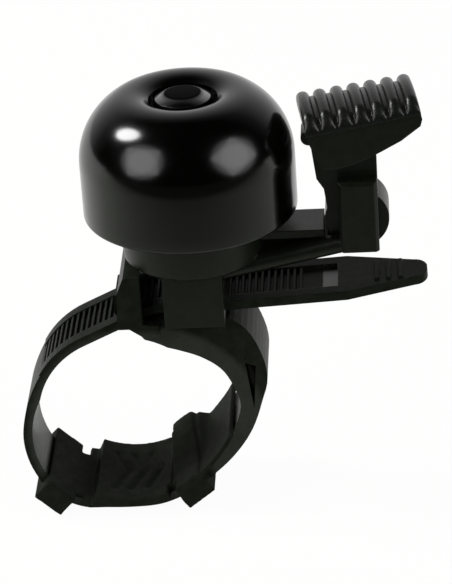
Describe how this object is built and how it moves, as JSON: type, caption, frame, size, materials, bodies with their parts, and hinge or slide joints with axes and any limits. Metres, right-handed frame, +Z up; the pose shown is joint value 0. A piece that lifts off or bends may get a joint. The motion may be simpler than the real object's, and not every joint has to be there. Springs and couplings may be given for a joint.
{
  "type": "bicycle bell",
  "caption": "Small black bicycle bell with a domed gong, a ribbed thumb lever carrying a hammer, and a toothed strap with a rubber liner that closes round a handlebar.",
  "frame": {"origin": "on the handlebar's axis, at the middle of the strap's width", "axes": "+Y along the handlebar, away from the pictured side; +Z up through the gong; +X towards the strap's tail and the thumb lever"},
  "size_m": [0.0745, 0.038, 0.0796],
  "materials": {
    "gloss_black": "gloss",
    "nylon": "matte",
    "steel": "satin",
    "black_plastic": "satin",
    "soft_grip": "satin",
    "strap_plastic": "satin",
    "liner_rubber": "matte"
  },
  "bodies": {
    "bell": {"gong": "gloss_black", "cap_nut": "gloss_black", "gong_washer": "nylon", "gong_bolt": "steel", "base": "black_plastic", "pivot_pin": "steel", "lever_spring": "steel", "strap": "strap_plastic", "liner": "liner_rubber"},
    "striker": {"lever": "black_plastic", "thumb_grip": "soft_grip", "hammer": "black_plastic"}
  },
  "joints": [
    {"name": "lever_pivot", "type": "hinge", "parent": "bell", "child": "striker", "pos_m": [0.0432, 0, 0.0361], "axis": [0, 1, 0], "range_deg": [-5, 24], "stiffness_Nm_per_rad": 0.06, "deforming": ["lever_spring"]}
  ]
}
